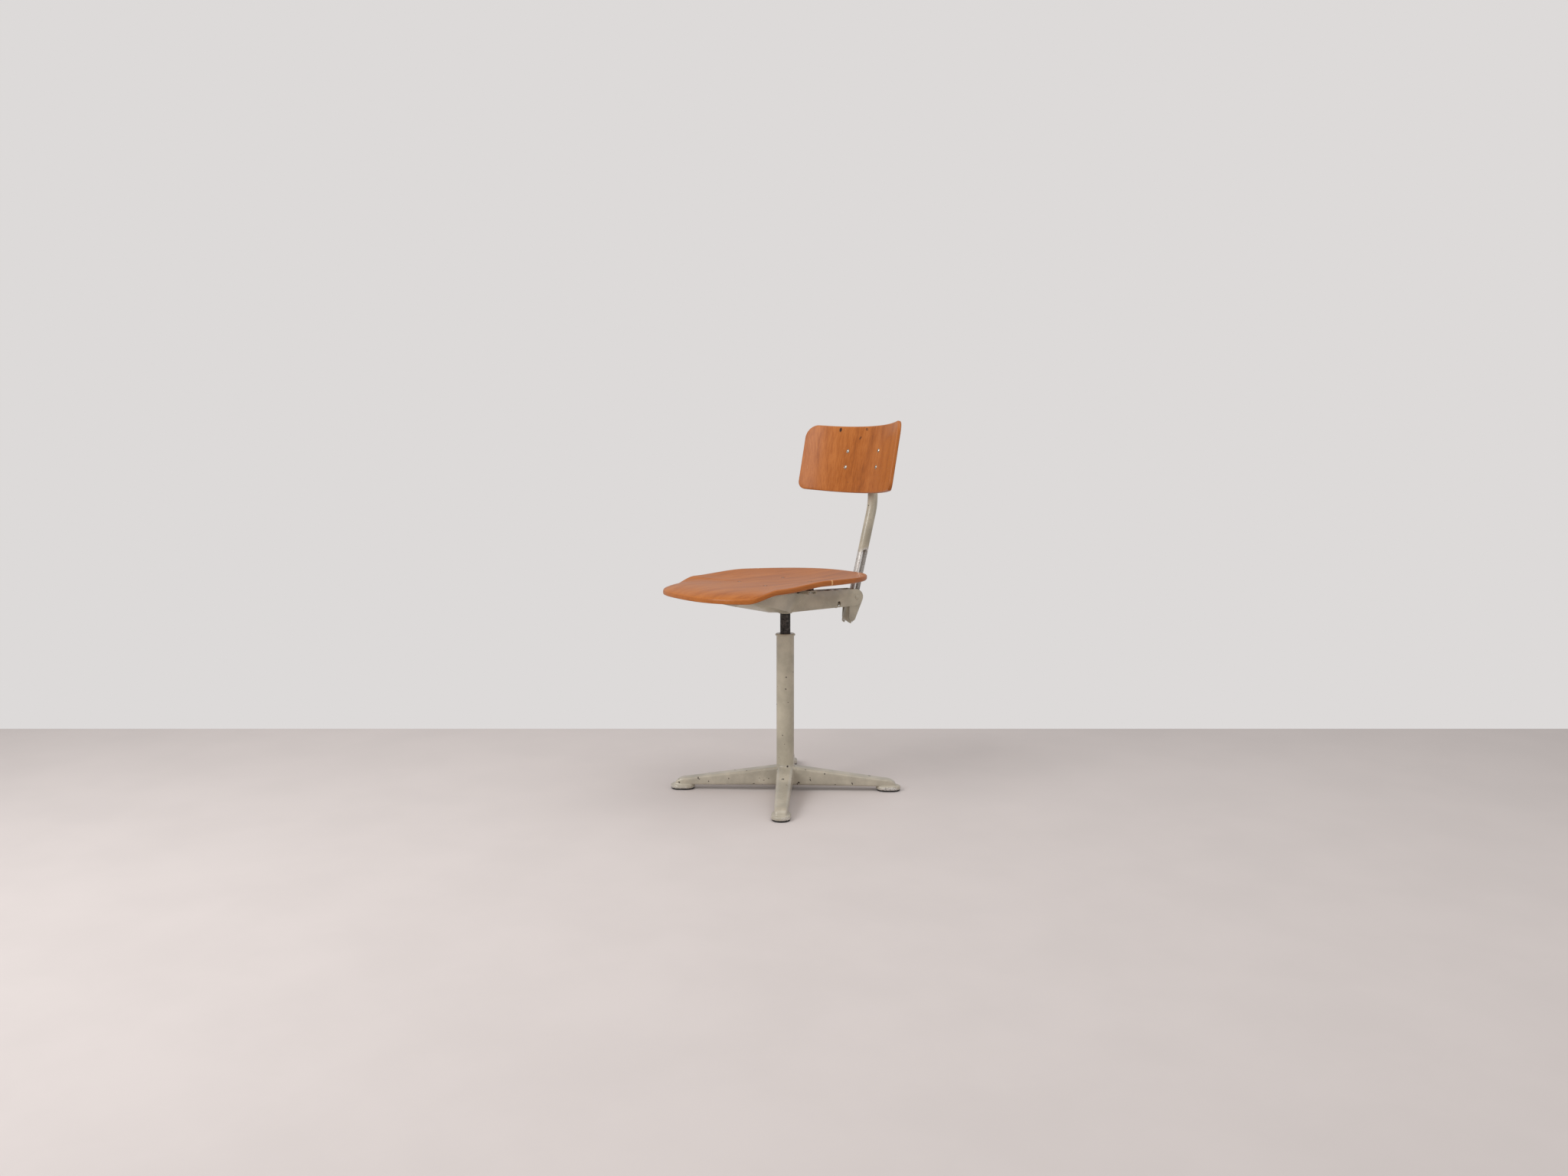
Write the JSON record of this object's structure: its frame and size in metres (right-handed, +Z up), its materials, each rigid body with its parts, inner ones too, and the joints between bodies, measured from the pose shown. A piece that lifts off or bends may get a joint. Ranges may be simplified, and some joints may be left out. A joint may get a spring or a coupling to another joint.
{
  "type": "drafting chair",
  "caption": "Drafting chair with a star base, screw column, moulded ply seat and a sprung, height-adjustable, tilting ply backrest.",
  "frame": {"origin": "on the floor, on the column's axis", "axes": "+Z up, the seat faces -Y, +X towards the sitter's left"},
  "size_m": [0.422, 0.4937, 0.7935],
  "materials": {
    "paint": "glossy grey-green enamel, chipped",
    "cast_paint": "glossy grey-green enamel over iron, chipped",
    "steel": "plain steel, worn",
    "spindle_steel": "dark greasy steel",
    "ply": "glossy orange-brown lacquered beech ply",
    "glide": "black moulded glide",
    "fibre": "matt black spacer"
  },
  "bodies": {
    "base": {"column_tube": "paint", "column_collar": "paint", "column_cap": "glide", "spindle_nut": "steel", "leg_1": "cast_paint", "leg_2": "cast_paint", "leg_3": "cast_paint", "leg_4": "cast_paint", "glide_1": "glide", "glide_2": "glide", "glide_3": "glide", "glide_4": "glide"},
    "guide": {"guide_disc": "steel"},
    "seat": {"spindle": "spindle_steel", "disc_screw": "steel", "spindle_boss": "paint", "carrier_channel": "paint", "front_tray": "paint", "tray_plate": "paint", "rear_crossbar": "paint", "seat_shell": "ply", "seat_spacer_1": "fibre", "seat_spacer_2": "fibre", "seat_spacer_3": "fibre", "seat_spacer_4": "fibre", "seat_screw_1": "steel", "seat_screw_2": "steel", "seat_screw_3": "steel", "seat_screw_4": "steel", "upper_pin": "paint", "upper_sleeve": "steel", "spring_abutment": "paint", "spring_bolt": "steel", "back_spring": "steel"},
    "rocker": {"rocker": "paint", "lower_pin": "paint", "lower_sleeve": "steel"},
    "upright": {"upright_tube": "paint", "upright_cap": "paint", "tilt_bolt": "steel"},
    "backrest": {"back_strap": "paint", "back_ear_left": "paint", "back_ear_right": "paint", "back_panel": "ply", "back_screw_1": "steel", "back_screw_2": "steel", "back_screw_3": "steel", "back_screw_4": "steel"}
  },
  "joints": [
    {"name": "seat_lift", "type": "slide", "parent": "base", "child": "guide", "axis": [0, 0, 1], "range_m": [-0.036, 0.108]},
    {"name": "seat_turn", "type": "hinge", "parent": "guide", "child": "seat", "pos_m": [0, 0, 0.18], "axis": [0, 0, 1], "range_deg": [-2160, 6480]},
    {"name": "back_rock", "type": "hinge", "parent": "seat", "child": "rocker", "pos_m": [0, 0.177, 0.4115], "axis": [-1, 0, 0], "range_deg": [0, 8], "stiffness_Nm_per_rad": 150, "springref_deg": -2.86, "deforming": ["back_spring"]},
    {"name": "back_height", "type": "slide", "parent": "rocker", "child": "upright", "axis": [0, 0.247, 0.969], "range_m": [-0.1, 0]},
    {"name": "back_tilt", "type": "hinge", "parent": "upright", "child": "backrest", "pos_m": [0, 0.22872, 0.70341], "axis": [-1, 0, 0], "range_deg": [-8, 8]}
  ],
  "couplings": [
    {"joint": "seat_lift", "follows": "seat_turn", "m_per_rad": 0.00095493}
  ]
}
